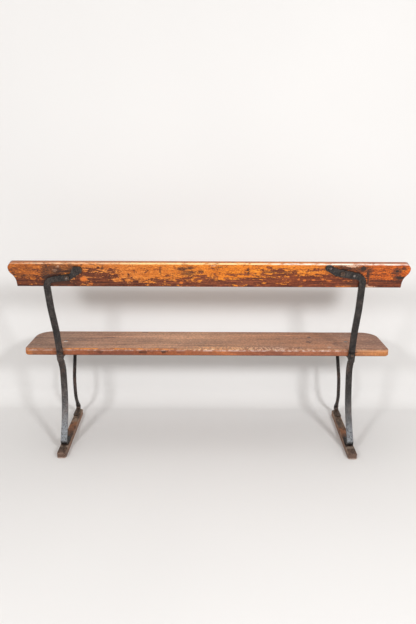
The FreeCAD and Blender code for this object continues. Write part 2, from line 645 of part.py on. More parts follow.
def front_leg(name):
    """Bowed round bar with a flattened palm turned rearward at its top and a foot at its bottom."""
    side = SIDES[name]
    palm_end, top, waist, ankle, toe, foot_end = front_leg_points(side)
    down = (waist - top).normalize()
    up = (ankle - toe).normalize()
    flat_top = corner_arc(palm_end, top, waist, PALM_BEND_RADIUS)[2] + down * PALM_THICKNESS
    flat_end = corner_arc(ankle, toe, foot_end, FOOT_BEND_RADIUS)[0] + up * FOOT_THICKNESS
    rod_top = flat_top + down * PALM_FLATTEN_LENGTH
    rod_end = flat_end + up * FOOT_FLATTEN_LENGTH
    path = rounded_path([rod_top, waist, ankle, rod_end], [WAIST_RADIUS, ANKLE_RADIUS])
    circle = Part.Wire(Part.makeCircle(ROD_DIAMETER / 2, rod_top, down))
    rod = path.makePipeShell([circle], True, False)
    palm = flat_bar([palm_end, top, flat_top], [PALM_BEND_RADIUS], PALM_WIDTH, PALM_THICKNESS)
    palm = round_tip(palm, top, palm_end, PALM_WIDTH, PALM_THICKNESS)
    foot = flat_bar([foot_end, toe, flat_end], [FOOT_BEND_RADIUS], FOOT_WIDTH, FOOT_THICKNESS)
    foot = round_tip(foot, toe, foot_end, FOOT_WIDTH, FOOT_THICKNESS)
    upper = flatten(rod_top, flat_top, PALM_WIDTH, PALM_THICKNESS)
    lower = flatten(rod_end, flat_end, FOOT_WIDTH, FOOT_THICKNESS)
    leg = rod.fuse([upper, lower, palm, foot]).removeSplitter()
    for base in palm_screw_bases(side):
        leg = leg.cut(clearance_hole(base, -Z_AXIS, PALM_THICKNESS, SCREW_DIAMETER))
    for base in front_foot_screw_bases(side):
        leg = leg.cut(clearance_hole(base, Z_AXIS, FOOT_THICKNESS, SCREW_DIAMETER))
    return leg


# Fasteners

def rail_bolt(name):
    """Carriage bolt with its head on the rail's front face."""
    grip = BAR_THICKNESS + RAIL_THICKNESS
    return domed_bolt(fixings(name)[1] + RAIL_FRONT * grip, RAIL_FRONT, grip, RAIL_BOLT_HEAD_HEIGHT)


def rail_nut(name):
    return square_nut(fixings(name)[1], -RAIL_FRONT)


def rail_screws(name):
    inner, bolt, outer = fixings(name)
    return Part.Compound([wood_screw(base, -RAIL_FRONT, BAR_THICKNESS, RAIL_SCREW_BITE) for base in (inner, outer)])


def lap_rivet(name):
    """Rivet through both lapped bars, headed at the back and flush in front, where the seat's edge is."""
    rear_face = at_x(lap_point(RIVET_ABOVE_TENON, 2 * BAR_THICKNESS), SIDES[name] * STRAP_X)
    shank = Part.makeCylinder(RIVET_DIAMETER / 2, 2 * BAR_THICKNESS, Vector(0, 0, -2 * BAR_THICKNESS))
    head = Part.makeCone(RIVET_HEAD_DIAMETER / 2, RIVET_DIAMETER / 2, RIVET_HEAD_HEIGHT)
    return stand(head.fuse(shank), rear_face, -LAP_FRONT)


def seat_bolt(name):
    grip = SEAT_THICKNESS - COUNTERBORE_DEPTH + BAR_THICKNESS
    return domed_bolt(seat_bolt_place(SIDES[name]), Z_AXIS, grip, SEAT_BOLT_HEAD_HEIGHT)


def seat_nut(name):
    grip = SEAT_THICKNESS - COUNTERBORE_DEPTH + BAR_THICKNESS
    return square_nut(seat_bolt_place(SIDES[name]) - Z_AXIS * grip, -Z_AXIS)


def palm_screws(name):
    grip = PALM_THICKNESS + BAR_THICKNESS
    bases = palm_screw_bases(SIDES[name])
    return Part.Compound([wood_screw(base, -Z_AXIS, grip, SEAT_SCREW_BITE) for base in bases])


def rear_foot_screws(name):
    bases = rear_foot_screw_bases(SIDES[name])
    return Part.Compound([wood_screw(base, Z_AXIS, BAR_THICKNESS, RUNNER_SCREW_BITE) for base in bases])


def front_foot_screws(name):
    bases = front_foot_screw_bases(SIDES[name])
    return Part.Compound([wood_screw(base, Z_AXIS, FOOT_THICKNESS, RUNNER_SCREW_BITE) for base in bases])


# Every node, moved to the whole bench's own frame and written out

PAIRED_PIECES = [back_bar, rear_leg, bearer, front_leg, rail_bolt, rail_nut, rail_screws, lap_rivet,
                 seat_bolt, seat_nut, palm_screws, rear_foot_screws, front_foot_screws]

nodes = {"seat_board": seat_board(), "back_rail": back_rail()}
for side_name in SIDES:
    nodes["runner_" + side_name] = runner(SIDES[side_name])
    for piece in PAIRED_PIECES:
        nodes[piece.__name__ + "_" + side_name] = piece(side_name)

left_end = min(SEAT_SHIFT - SEAT_LENGTH / 2, RAIL_SHIFT - RAIL_LENGTH / 2)
right_end = max(SEAT_SHIFT + SEAT_LENGTH / 2, RAIL_SHIFT + RAIL_LENGTH / 2)
to_origin = Vector(-(left_end + right_end) / 2, (RUNNER_BACK - RUNNER_FRONT) / 2, 0)

for node_name, shape in nodes.items():
    shape.translate(to_origin)
    shape.exportStep("parts/" + node_name + ".step")
    box = shape.BoundBox
    print(node_name, len(shape.Solids), shape.isValid(), round(shape.Volume), len(shape.tessellate(0.1)[1]))
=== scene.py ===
import bpy
import math
from mathutils import Matrix, Vector
from types import SimpleNamespace


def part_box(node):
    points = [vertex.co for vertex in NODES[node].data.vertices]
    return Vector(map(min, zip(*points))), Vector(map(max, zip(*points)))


# The bench's looks, built round its fixed solids. Metres, +Z up. The camera stands behind the bench.

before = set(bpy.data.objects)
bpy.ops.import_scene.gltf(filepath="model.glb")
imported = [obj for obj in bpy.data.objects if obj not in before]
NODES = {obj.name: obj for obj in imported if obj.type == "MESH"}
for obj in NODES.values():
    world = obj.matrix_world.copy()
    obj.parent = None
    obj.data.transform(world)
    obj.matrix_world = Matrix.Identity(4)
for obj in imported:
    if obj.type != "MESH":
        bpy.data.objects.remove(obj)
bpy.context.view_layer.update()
SIDES = ("left", "right")

# Places read from the frame
SEAT_LOW, SEAT_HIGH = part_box("seat_board")
RUNNER_LOW, RUNNER_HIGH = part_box("runner_left")
SEAT_UNDER = SEAT_LOW[2]
SEAT_TOP = SEAT_HIGH[2]
SEAT_REAR = SEAT_LOW[1]
SEAT_FRONT = SEAT_HIGH[1]
RUNNER_REAR = RUNNER_LOW[1]
RUNNER_FRONT = RUNNER_HIGH[1]
RUNNER_TOP = RUNNER_HIGH[2]

# The back rail's own frame: its lower rear arris, its lean and its height. Depth in it runs to the front.
RAIL_CORNER = (0.0, -0.1344, 0.6907)
RAIL_LEAN = math.radians(15)
RAIL_HEIGHT = 0.101

# Ends of the boards along X, where the tones along them start and stop
RAIL_LEFT, RAIL_RIGHT = -0.754, 0.757
SEAT_LEFT, SEAT_RIGHT = -0.755, 0.745

# How far a mark reaches into the board, from the face that it lies on
RAIL_MARK_DEPTH = 0.012
SEAT_MARK_DEPTH = 0.02


def srgb(red, green, blue):
    """Linear colour with full alpha from 8-bit display values."""
    def linear(value):
        share = value / 255
        return share / 12.92 if share <= 0.04045 else ((share + 0.055) / 1.055) ** 2.4
    return linear(red), linear(green), linear(blue), 1.0


class Shading:
    """A node tree for one material, with short calls for the nodes it is built from."""

    def __init__(self, name):
        self.material = bpy.data.materials.new(name)
        self.material.use_nodes = True
        self.tree = self.material.node_tree
        self.shader = self.tree.nodes["Principled BSDF"]

    def put(self, kind, inputs, **settings):
        node = self.tree.nodes.new(kind)
        for key, value in settings.items():
            setattr(node, key, value)
        for key, value in inputs.items():
            self.feed(node.inputs[key], value)
        return node

    def feed(self, socket, value):
        """Link the socket to another one, or set its own value."""
        if isinstance(value, bpy.types.NodeSocket):
            self.tree.links.new(value, socket)
        else:
            socket.default_value = value

    def place(self):
        return self.put("ShaderNodeTexCoord", {}).outputs["Object"]

    def within(self, vector, corner, turn=(0, 0, 0), size=(1, 1, 1)):
        """The same place measured from a corner, along turned axes and in units of a size."""
        inputs = {"Vector": vector, "Location": corner, "Rotation": turn, "Scale": size}
        return self.put("ShaderNodeMapping", inputs, vector_type="TEXTURE").outputs["Vector"]

    def distance(self, vector, centre, size):
        """How far a place lies from a centre, in units of a size along each axis."""
        away = self.within(vector, centre, size=size)
        return self.put("ShaderNodeVectorMath", {0: away}, operation="LENGTH").outputs["Value"]

    def parts(self, vector):
        return self.put("ShaderNodeSeparateXYZ", {"Vector": vector}).outputs

    def noise(self, vector, per_metre, detail=4.0, roughness=0.55, distortion=0.0):
        """Noise from 0 to 1, with about this many lumps in a metre along each axis."""
        stretched = self.put("ShaderNodeMapping", {"Vector": vector, "Scale": per_metre}).outputs["Vector"]
        inputs = {"Vector": stretched, "Scale": 1.0, "Detail": detail, "Roughness": roughness,
                  "Distortion": distortion}
        return self.put("ShaderNodeTexNoise", inputs).outputs["Fac"]

    def range(self, value, low, high, to_low=0.0, to_high=1.0, smooth=True):
        """A value from low to high, turned into one from to_low to to_high and held there beyond."""
        inputs = {"Value": value, "From Min": low, "From Max": high, "To Min": to_low, "To Max": to_high}
        kind = "SMOOTHSTEP" if smooth else "LINEAR"
        return self.put("ShaderNodeMapRange", inputs, interpolation_type=kind).outputs["Result"]

    def calculate(self, operation, *values):
        return self.put("ShaderNodeMath", dict(enumerate(values)), operation=operation).outputs["Value"]

    def fold(self, operation, values):
        """One value from several, taken two at a time from the first on."""
        total, *others = values
        for value in others:
            total = self.calculate(operation, total, value)
        return total

    def sum(self, *values):
        return self.fold("ADD", values)

    def product(self, *values):
        return self.fold("MULTIPLY", values)

    def most(self, *values):
        return self.fold("MAXIMUM", values)

    def weigh(self, *pairs):
        """Sum of values, each times its weight."""
        return self.sum(*[self.product(value, weight) for value, weight in pairs])

    def swing(self, value, reach):
        """A noise value turned into a push of up to about reach either way."""
        return self.range(value, 0.25, 0.75, -reach, reach, smooth=False)

    def shade(self, value, low, high):
        """A noise value turned into a grey between two levels, to multiply a colour by."""
        return self.range(value, 0.3, 0.7, low, high, smooth=False)

    def mix(self, share, a, b, blend="MIX"):
        node = self.tree.nodes.new("ShaderNodeMix")
        node.data_type = "RGBA"
        node.blend_type = blend
        # A mix node has sockets for every type of data: these are its share and its two colours
        factor, first, second = node.inputs[0], node.inputs[6], node.inputs[7]
        self.feed(factor, share)
        self.feed(first, a)
        self.feed(second, b)
        return node.outputs[2]

    def times(self, colour, by):
        return self.mix(1.0, colour, by, "MULTIPLY")

    def ramp(self, value, stops):
        node = self.put("ShaderNodeValToRGB", {"Fac": value})
        elements = node.color_ramp.elements
        while len(elements) < len(stops):
            elements.new(1.0)
        for element, (position, colour) in zip(elements, stops):
            element.position = position
            element.color = colour
        return node.outputs["Color"]

    def along(self, value, stops):
        """Colour that changes along a value, from (place, colour) stops."""
        first, last = stops[0][0], stops[-1][0]
        shares = [((place - first) / (last - first), colour) for place, colour in stops]
        return self.ramp(self.range(value, first, last, smooth=False), shares)

    def line(self, value, points, reach=1.0):
        """Height of a line drawn through (place, height) points, with heights of up to reach."""
        greys = [(place, (height / reach,) * 3 + (1.0,)) for place, height in points]
        return self.product(self.along(value, greys), reach)

    def tones(self, value, points):
        """Colour that changes along a value, from (place, display colour) points."""
        return self.along(value, [(place, srgb(*tone)) for place, tone in points])

    def spot(self, vector, centre, size, uneven, soft=0.35):
        """1 inside an oval and 0 outside, with its edge pushed about by an uneven value."""
        return self.range(self.sum(self.distance(vector, centre, size), uneven), 1 + soft, 1 - soft)

    def spots(self, vector, marks, uneven, soft=0.35):
        """The strongest of several spots, each (centre, size, strength)."""
        return self.most(*[self.product(self.spot(vector, centre, size, uneven, soft), strength)
                           for centre, size, strength in marks])

    def ring(self, vector, centre, size, uneven):
        """A spot that is weaker inside about half its size."""
        inner = self.spot(vector, centre, [0.55 * side for side in size], uneven)
        return self.product(self.spot(vector, centre, size, uneven), self.range(inner, 0, 1, 1, 0.3))

    def relief(self, height, distance, arris):
        """Bump over edges that look rounded by the arris radius."""
        edge = self.put("ShaderNodeBevel", {"Radius": arris}, samples=4).outputs["Normal"]
        node = self.put("ShaderNodeBump", {"Height": height, "Distance": distance, "Normal": edge})
        self.feed(self.shader.inputs["Normal"], node.outputs["Normal"])

    def open_behind(self):
        """Leave the surface out for shadows, and for whoever looks from behind it."""
        behind = self.put("ShaderNodeNewGeometry", {}).outputs["Backfacing"]
        shadow = self.put("ShaderNodeLightPath", {}).outputs["Is Shadow Ray"]
        clear = self.put("ShaderNodeBsdfTransparent", {}).outputs["BSDF"]
        solid = self.shader.outputs["BSDF"]
        either = self.put("ShaderNodeMixShader", {0: self.most(behind, shadow), 1: solid, 2: clear})
        self.feed(self.tree.nodes["Material Output"].inputs["Surface"], either.outputs["Shader"])

    def finish(self, colour, roughness, **constants):
        self.feed(self.shader.inputs["Base Color"], colour)
        self.feed(self.shader.inputs["Roughness"], roughness)
        for key, value in constants.items():
            self.shader.inputs[key.replace("_", " ")].default_value = value
        return self.material


# Back rail

def rail_marks(*rows):
    """Ovals on the rail's rear face: place along and up, half sizes that way, strength."""
    return [((along, 0, up), (long, RAIL_MARK_DEPTH, high), strength)
            for along, up, long, high, strength in rows]


# Height up the rail's rear face where the worn varnish ends, along the rail
WORN_REACH = 0.1
WORN_LINE = [
    (RAIL_LEFT, 0.052), (-0.66, 0.044), (-0.60, 0.050), (-0.51, 0.056), (-0.47, 0.080), (-0.40, 0.078),
    (-0.355, 0.050), (-0.30, 0.036), (-0.24, 0.028), (-0.12, 0.034), (-0.07, 0.050), (0.05, 0.046),
    (0.11, 0.040), (0.17, 0.052), (0.25, 0.074), (0.36, 0.066), (0.44, 0.054), (0.50, 0.062),
    (0.57, 0.060), (0.60, 0.036), (RAIL_RIGHT, 0.034)]

# Dark stains from iron, burns and damp
RAIL_STAINS = rail_marks(
    (-0.611, 0.055, 0.020, 0.050, 0.95), (-0.572, 0.070, 0.046, 0.030, 0.85),
    (-0.515, 0.072, 0.030, 0.028, 0.85), (-0.565, 0.018, 0.060, 0.014, 0.70),
    (-0.700, 0.048, 0.034, 0.006, 0.55), (-0.668, 0.074, 0.020, 0.010, 0.35),
    (-0.399, 0.079, 0.007, 0.006, 0.90), (-0.182, 0.070, 0.004, 0.017, 0.75),
    (-0.099, 0.078, 0.024, 0.008, 0.95), (-0.070, 0.082, 0.016, 0.007, 0.90),
    (-0.078, 0.060, 0.030, 0.012, 0.75), (0.040, 0.087, 0.010, 0.003, 0.70),
    (-0.030, 0.070, 0.012, 0.006, 0.60), (0.148, 0.076, 0.005, 0.007, 0.95),
    (0.149, 0.060, 0.004, 0.008, 0.80), (0.230, 0.066, 0.026, 0.005, 0.70),
    (0.290, 0.064, 0.024, 0.005, 0.70), (0.602, 0.052, 0.005, 0.042, 0.85),
    (0.550, 0.076, 0.036, 0.022, 0.85), (0.604, 0.074, 0.012, 0.014, 0.80),
    (0.712, 0.044, 0.022, 0.012, 0.85), (0.732, 0.082, 0.009, 0.008, 0.80),
    (0.506, 0.083, 0.042, 0.015, 0.95), (0.548, 0.016, 0.046, 0.022, 0.50),
    (0.722, 0.078, 0.010, 0.005, 0.60), (0.690, 0.066, 0.008, 0.004, 0.50),
    (0.670, 0.029, 0.090, 0.004, 0.45), (0.350, 0.003, 0.180, 0.003, 0.60))

# Sharp dark scars: two by the right bracket, a knot and burns near the right end
RAIL_SCARS = rail_marks(
    (0.579, 0.082, 0.012, 0.011, 1.00), (0.598, 0.064, 0.005, 0.016, 0.90),
    (0.707, 0.072, 0.008, 0.007, 1.00), (0.722, 0.045, 0.017, 0.006, 1.00),
    (0.690, 0.064, 0.008, 0.004, 0.75), (0.728, 0.084, 0.007, 0.004, 0.80))

# Rings left by nuts and knots
RAIL_RINGS = rail_marks(
    (0.584, 0.079, 0.015, 0.014, 0.80), (0.707, 0.072, 0.017, 0.014, 0.90),
    (-0.728, 0.070, 0.016, 0.014, 0.40))

# Drops of orange varnish on the bare wood
RAIL_DROPS = rail_marks(
    (-0.473, 0.034, 0.013, 0.010, 1.0), (-0.447, 0.014, 0.010, 0.004, 0.7),
    (-0.104, 0.019, 0.007, 0.006, 0.9), (0.340, 0.036, 0.005, 0.004, 0.9),
    (0.362, 0.032, 0.006, 0.004, 0.9), (0.396, 0.034, 0.007, 0.003, 0.9),
    (0.430, 0.037, 0.005, 0.004, 0.9), (0.456, 0.031, 0.009, 0.003, 0.9))

# Pale chips
RAIL_CHIPS = rail_marks(
    (0.535, 0.092, 0.024, 0.004, 0.7), (0.592, 0.012, 0.010, 0.003, 0.8),
    (0.613, 0.004, 0.022, 0.003, 0.8), (-0.563, 0.087, 0.006, 0.005, 0.3),
    (-0.575, 0.070, 0.009, 0.006, 0.15), (0.018, 0.092, 0.012, 0.002, 0.5))

# How pale the upper rear arris is painted, as worn wood and as painted highlight, and how brown the top is,
# along the rail
PALE_ARRIS_AND_HIGHLIGHT = [
    (RAIL_LEFT, 0.1), (-0.72, 0.35), (-0.66, 0.6), (-0.55, 0.85), (-0.38, 0.75), (-0.30, 0.95), (0.10, 1.0),
    (0.24, 0.95), (0.36, 1.0), (0.52, 1.0), (0.60, 0.8), (0.68, 0.85), (RAIL_RIGHT, 0.4)]
BROWN_TOP = [(RAIL_LEFT, 0.75), (-0.30, 0.6), (-0.10, 0.3), (0.30, 0.2), (0.45, 0.4), (RAIL_RIGHT, 0.5)]

# Display colours along the rail
THICK_VARNISH = [
    (RAIL_LEFT, (134, 68, 26)), (-0.45, (152, 77, 26)), (0.1, (162, 80, 22)), (0.45, (148, 73, 22)),
    (RAIL_RIGHT, (140, 56, 16))]
MIDDLE_VARNISH = [
    (RAIL_LEFT, (190, 104, 36)), (-0.45, (200, 113, 46)), (0.1, (218, 121, 28)), (0.38, (216, 122, 36)),
    (0.5, (192, 97, 34)), (RAIL_RIGHT, (204, 95, 20))]
RUBBED_VARNISH = [
    (RAIL_LEFT, (212, 132, 52)), (-0.45, (229, 150, 76)), (0.1, (242, 152, 42)), (0.38, (240, 150, 54)),
    (0.5, (214, 130, 60)), (RAIL_RIGHT, (226, 126, 44))]
BARE_TINT = [
    (RAIL_LEFT, (192, 186, 172)), (-0.36, (208, 206, 202)), (-0.1, (236, 230, 222)),
    (0.05, (255, 255, 250)), (0.3, (240, 226, 206)), (RAIL_RIGHT, (220, 204, 192))]
# Pale colours of the upper rear arris: worn wood and a painted highlight
ARRIS_WEAR_AND_HIGHLIGHT_TONES = [
    (RAIL_LEFT, (240, 190, 150)), (-0.40, (246, 204, 160)), (-0.24, (255, 222, 160)),
    (0.16, (255, 224, 168)), (0.30, (252, 234, 216)), (RAIL_RIGHT, (250, 236, 224))]

# Colours of the rail's marks and edges
RAIL_SPECKLE = srgb(84, 38, 22)
RAIL_DROP = srgb(212, 114, 44)
RAIL_STAIN = srgb(52, 37, 31)
RAIL_CHIP = srgb(232, 190, 160)
RAIL_TOP_BROWN = srgb(164, 100, 60)
RAIL_FRONT_BROWN = srgb(104, 58, 36)
RAIL_END_FACE_DARK = srgb(88, 44, 26)
RAIL_FOOT = srgb(70, 34, 24)


def rail_varnish(m, rail):
    """Varnish, dark where it is thick, pale where it is rubbed, with speckles in clusters."""
    ends = m.most(m.range(rail.x, -0.52, -0.66), m.range(rail.x, 0.50, 0.62, 0.0, 0.6))
    tone = m.weigh((rail.flecks, 0.4), (rail.mottle, 0.35), (rail.streaks, 0.25), (ends, -0.03))
    layers = (THICK_VARNISH, MIDDLE_VARNISH, RUBBED_VARNISH)
    thick, middle, rubbed = [m.tones(rail.x, tones) for tones in layers]
    varnish = m.mix(m.range(tone, 0.42, 0.50), thick, middle)
    varnish = m.mix(m.range(tone, 0.51, 0.59), varnish, rubbed)
    right_nose = m.range(rail.x, 0.66, 0.72, 0.0, 0.05)
    low_down = m.range(rail.up, 0.09, 0.05, -0.02, 0.02)
    clusters = m.sum(rail.pepper, m.swing(rail.islands, -0.14), m.product(ends, 0.04), right_nose, low_down)
    varnish = m.mix(m.range(clusters, 0.60, 0.66, 0.0, 0.9), varnish, RAIL_SPECKLE)
    return m.times(varnish, m.shade(rail.fibre, 0.84, 1.13))


def rail_bare(m, rail):
    """Bare wood, streaked."""
    bare = m.ramp(m.weigh((rail.streaks, 0.6), (rail.flecks, 0.4)),
                  [(0.39, srgb(74, 36, 26)), (0.48, srgb(114, 56, 34)), (0.60, srgb(164, 90, 54))])
    bare = m.times(bare, m.tones(rail.x, BARE_TINT))
    return m.times(bare, m.shade(rail.fibre, 0.84, 1.12))


def rail_varnished(m, rail):
    """Share of varnish: whole above the worn line, ragged round it, and reaching lower on the front."""
    above = m.sum(rail.up, m.product(m.line(rail.x, WORN_LINE, WORN_REACH), -1))
    bank = m.range(above, -0.03, 0.03, -0.2, 0.2, smooth=False)
    front = m.range(rail.depth, 0.006, 0.014, 0.0, 0.10)
    ragged = m.sum(front, m.swing(rail.flecks, 0.13), m.swing(rail.mottle, 0.3), m.swing(rail.islands, 0.22),
                   m.swing(rail.comb, 0.06))
    straighter = m.range(rail.x, 0.58, 0.62, 1.0, 0.3)
    return m.range(m.sum(bank, m.product(ragged, straighter)), -0.015, 0.02)


def mark_rail(m, rail, colour):
    """Drops, then dark stains, rings and scars, then pale chips."""
    drop = m.times(RAIL_DROP, m.shade(rail.streaks, 0.72, 1.22))
    colour = m.mix(m.spots(rail.place, RAIL_DROPS, m.swing(rail.flecks, 0.6), 0.2), colour, drop)
    slight = m.swing(rail.flecks, 0.35)
    rings = m.most(*[m.product(m.ring(rail.place, centre, size, slight), strength)
                     for centre, size, strength in RAIL_RINGS])
    patchy = m.range(rail.flecks, 0.40, 0.56, 0.5, 1.1)
    stains = m.product(m.spots(rail.place, RAIL_STAINS, m.swing(rail.flecks, 0.8)), patchy)
    scars = m.spots(rail.place, RAIL_SCARS, slight, 0.2)
    colour = m.mix(m.most(stains, rings, scars), colour, RAIL_STAIN)
    return m.mix(m.spots(rail.place, RAIL_CHIPS, m.swing(rail.pepper, 0.8), 0.2), colour, RAIL_CHIP)


def edge_rail(m, rail, colour):
    """The upper rear arris painted pale as worn wood and painted highlight, the brown top and front, the
    darker end faces and the dark foot.
    """
    broken = m.range(m.noise(rail.place, (34, 120, 120), 5, 0.7), 0.38, 0.52)
    arris = m.product(m.range(rail.up, RAIL_HEIGHT - 0.0055, RAIL_HEIGHT - 0.0035),
                      m.range(rail.depth, 0.0062, 0.0042))
    # The pale arris is worn wood and a painted highlight along the rounded edge
    pale = m.product(arris, m.line(rail.x, PALE_ARRIS_AND_HIGHLIGHT), m.sum(0.25, m.product(broken, 0.75)))
    colour = m.mix(pale, colour, m.tones(rail.x, ARRIS_WEAR_AND_HIGHLIGHT_TONES))
    top = m.range(rail.up, RAIL_HEIGHT - 0.004, RAIL_HEIGHT - 0.002)
    browned = m.product(m.range(rail.depth, 0.0055, 0.008), top, m.line(rail.x, BROWN_TOP))
    colour = m.mix(browned, colour, RAIL_TOP_BROWN)
    colour = m.mix(m.product(m.range(rail.depth, 0.014, 0.021), 0.75), colour, RAIL_FRONT_BROWN)
    # The end faces, found by their sideways normals, are made darker
    facing = m.put("ShaderNodeNewGeometry", {}).outputs["True Normal"]
    sideways = m.calculate("ABSOLUTE", m.parts(facing)[0])
    colour = m.mix(m.range(sideways, 0.25, 0.75, 0.0, 0.7), colour, RAIL_END_FACE_DARK)
    foot = m.product(m.range(rail.up, 0.0045, 0.0015), m.shade(rail.mottle, 0.3, 0.8))
    return m.mix(foot, colour, RAIL_FOOT)


def rail_wood():
    m = Shading("rail_varnish")
    place = m.within(m.place(), RAIL_CORNER, (RAIL_LEAN, 0, 0))
    x, depth, up = m.parts(place)
    rail = SimpleNamespace(
        place=place, x=x, depth=depth, up=up,
        fibre=m.noise(place, (14, 500, 500), 5, 0.65),
        streaks=m.noise(place, (9, 230, 230), 4, 0.6),
        flecks=m.noise(place, (105, 280, 280), 4, 0.6, 0.4),
        pepper=m.noise(place, (160, 230, 230), 3, 0.55, 0.3),
        mottle=m.noise(place, (24, 80, 80), 5, 0.7, 0.5),
        islands=m.noise(place, (16, 60, 60), 3, 0.5, 0.8),
        comb=m.noise(place, (330, 300, 70), 3, 0.5))
    varnished = rail_varnished(m, rail)
    colour = m.mix(varnished, rail_bare(m, rail), rail_varnish(m, rail))
    colour = mark_rail(m, rail, colour)
    colour = edge_rail(m, rail, colour)
    height = m.sum(m.product(rail.fibre, 0.5), rail.mottle, m.product(varnished, 0.5))
    m.relief(height, 0.0005, 0.0012)
    roughness = m.sum(m.range(varnished, 0, 1, 0.52, 0.32), m.swing(rail.fibre, 0.12))
    return m.finish(colour, roughness, Specular_IOR_Level=0.26, Coat_Weight=0.08, Coat_Roughness=0.18)


# Seat

def seat_marks(*rows):
    """Ovals on the seat's top: x and y, half sizes that way, strength."""
    return [((x, y, SEAT_TOP), (long, deep, SEAT_MARK_DEPTH), strength)
            for x, y, long, deep, strength in rows]


def edge_marks(*rows):
    """Ovals on the seat's rear face: x and z, half sizes that way, strength."""
    return [((x, SEAT_REAR, z), (long, SEAT_MARK_DEPTH, high), strength)
            for x, z, long, high, strength in rows]


SEAT_KNOTS = seat_marks(
    (0.435, 0.120, 0.011, 0.010, 0.75), (0.425, 0.058, 0.011, 0.010, 0.80),
    (0.376, -0.016, 0.010, 0.007, 0.50), (0.300, 0.100, 0.012, 0.006, 0.40),
    (-0.530, 0.072, 0.035, 0.004, 0.60), (-0.620, 0.020, 0.045, 0.004, 0.60),
    (-0.425, 0.109, 0.024, 0.004, 0.60), (-0.280, 0.180, 0.016, 0.008, 0.45),
    (0.530, 0.030, 0.012, 0.012, 0.40))
SEAT_WEAR = seat_marks((-0.604, 0.054, 0.009, 0.008, 0.9), (0.500, -0.006, 0.008, 0.006, 0.4))
EDGE_BURNS = edge_marks(
    (-0.182, 0.392, 0.014, 0.005, 0.8), (-0.445, 0.390, 0.014, 0.007, 0.5),
    (-0.268, 0.390, 0.018, 0.006, 0.6), (0.600, 0.396, 0.014, 0.006, 0.6))

# Display colours along the seat
TOP_TONES = [
    (SEAT_LEFT, (132, 100, 82)), (-0.62, (150, 116, 96)), (-0.45, (172, 130, 106)), (-0.05, (192, 146, 116)),
    (0.20, (182, 132, 102)), (0.48, (172, 120, 90)), (0.60, (158, 116, 94)), (SEAT_RIGHT, (148, 108, 88))]
PATCH_TONES = [
    (-0.2, (226, 150, 84)), (0.1, (232, 176, 128)), (0.3, (216, 176, 156)), (0.7, (200, 150, 120))]
FACE_TONES = [
    (SEAT_LEFT, (200, 120, 58)), (-0.72, (152, 98, 68)), (-0.55, (144, 83, 55)), (-0.20, (148, 83, 53)),
    (-0.02, (190, 114, 68)), (0.16, (182, 109, 70)), (0.28, (158, 97, 70)), (0.56, (156, 97, 70)),
    (0.64, (186, 125, 82)), (SEAT_RIGHT, (192, 126, 74))]

# How strongly the two bands on the rear arris show, along the seat: worn wood and a painted highlight
UPPER_LIP_WEAR_AND_HIGHLIGHT = [
    (SEAT_LEFT, 0.3), (-0.66, 0.35), (-0.60, 0.25), (-0.56, 0.85), (-0.20, 0.85), (-0.12, 0.4),
    (-0.02, 0.75), (0.12, 0.65), (0.19, 0.3), (SEAT_RIGHT, 0.3)]
LOWER_LIP_WEAR_AND_HIGHLIGHT = [
    (SEAT_LEFT, 0.5), (-0.62, 0.35), (-0.56, 0.45), (-0.20, 0.45), (-0.10, 0.35), (0.0, 0.7), (0.19, 0.75),
    (0.54, 0.8), (0.62, 0.5), (SEAT_RIGHT, 0.8)]

# Colours of the seat's marks and edges
SEAT_BLOTCH = srgb(130, 98, 84)
SEAT_CRACK = srgb(92, 62, 54)
SEAT_PALE = srgb(214, 186, 166)
SEAT_FRONT_BROWN = srgb(150, 92, 70)
SEAT_KNOT = srgb(78, 62, 62)
SEAT_BARED = srgb(226, 210, 198)
FACE_BLOTCH = srgb(108, 64, 54)
FACE_BURN = srgb(44, 30, 28)
SEAT_UNDERSIDE = srgb(92, 66, 54)
LIP_RIGHT_END = srgb(206, 150, 110)


def seat_top(m, seat):
    """The top: grain lines in bands, blotches, cracks, pale rubs, knots and a browner front."""
    top = m.tones(seat.x, TOP_TONES)
    top = m.mix(m.range(seat.blotch, 0.45, 0.65, 0.0, 0.4), top, SEAT_BLOTCH)
    top = m.times(top, m.shade(seat.bands, 0.75, 1.23))
    top = m.times(top, m.shade(seat.lines, 0.74, 1.24))
    top = m.times(top, m.shade(m.weigh((seat.fibre, 0.3), (seat.grit, 0.7)), 0.56, 1.42))
    top = m.mix(m.range(seat.lines, 0.41, 0.34, 0.0, 0.6), top, SEAT_CRACK)
    rubs = m.noise(seat.place, (60, 110, 60), 4, 0.6)
    top = m.mix(m.range(rubs, 0.60, 0.68, 0.0, 0.4), top, SEAT_PALE)
    top = m.times(top, m.range(seat.y, 0.02, 0.15, 1.0, 1.08))
    top = m.mix(m.range(seat.y, 0.17, SEAT_FRONT, 0.0, 0.5), top, SEAT_FRONT_BROWN)
    top = m.mix(m.spots(seat.place, SEAT_KNOTS, seat.uneven), top, SEAT_KNOT)
    top = m.mix(m.spots(seat.place, SEAT_WEAR, seat.uneven), top, SEAT_BARED)

    # Rubbed patches thicken towards the rear arris, in the middle most of all
    near = m.product(m.range(seat.y, 0.035, SEAT_REAR), m.range(seat.x, -0.20, 0.0),
                     m.range(seat.x, 0.50, 0.22, 0.35, 1.0))
    patches = m.sum(seat.grit, m.swing(seat.lines, 0.06), m.product(near, 0.14))
    rubbed = m.product(m.range(patches, 0.60, 0.67), near, 0.8)
    return m.mix(rubbed, top, m.tones(seat.x, PATCH_TONES))


def seat_face(m, seat):
    """The edges all round, with burns on the rear one."""
    face = m.tones(seat.x, FACE_TONES)
    face = m.times(face, m.shade(seat.fibre, 0.78, 1.14))
    face = m.times(face, m.shade(seat.grit, 0.72, 1.24))
    face = m.times(face, m.shade(m.noise(seat.place, (40, 40, 110), 4, 0.6), 0.78, 1.2))
    face = m.mix(m.range(seat.blotch, 0.48, 0.62, 0.0, 0.5), face, FACE_BLOTCH)
    return m.mix(m.spots(seat.place, EDGE_BURNS, seat.uneven), face, FACE_BURN)


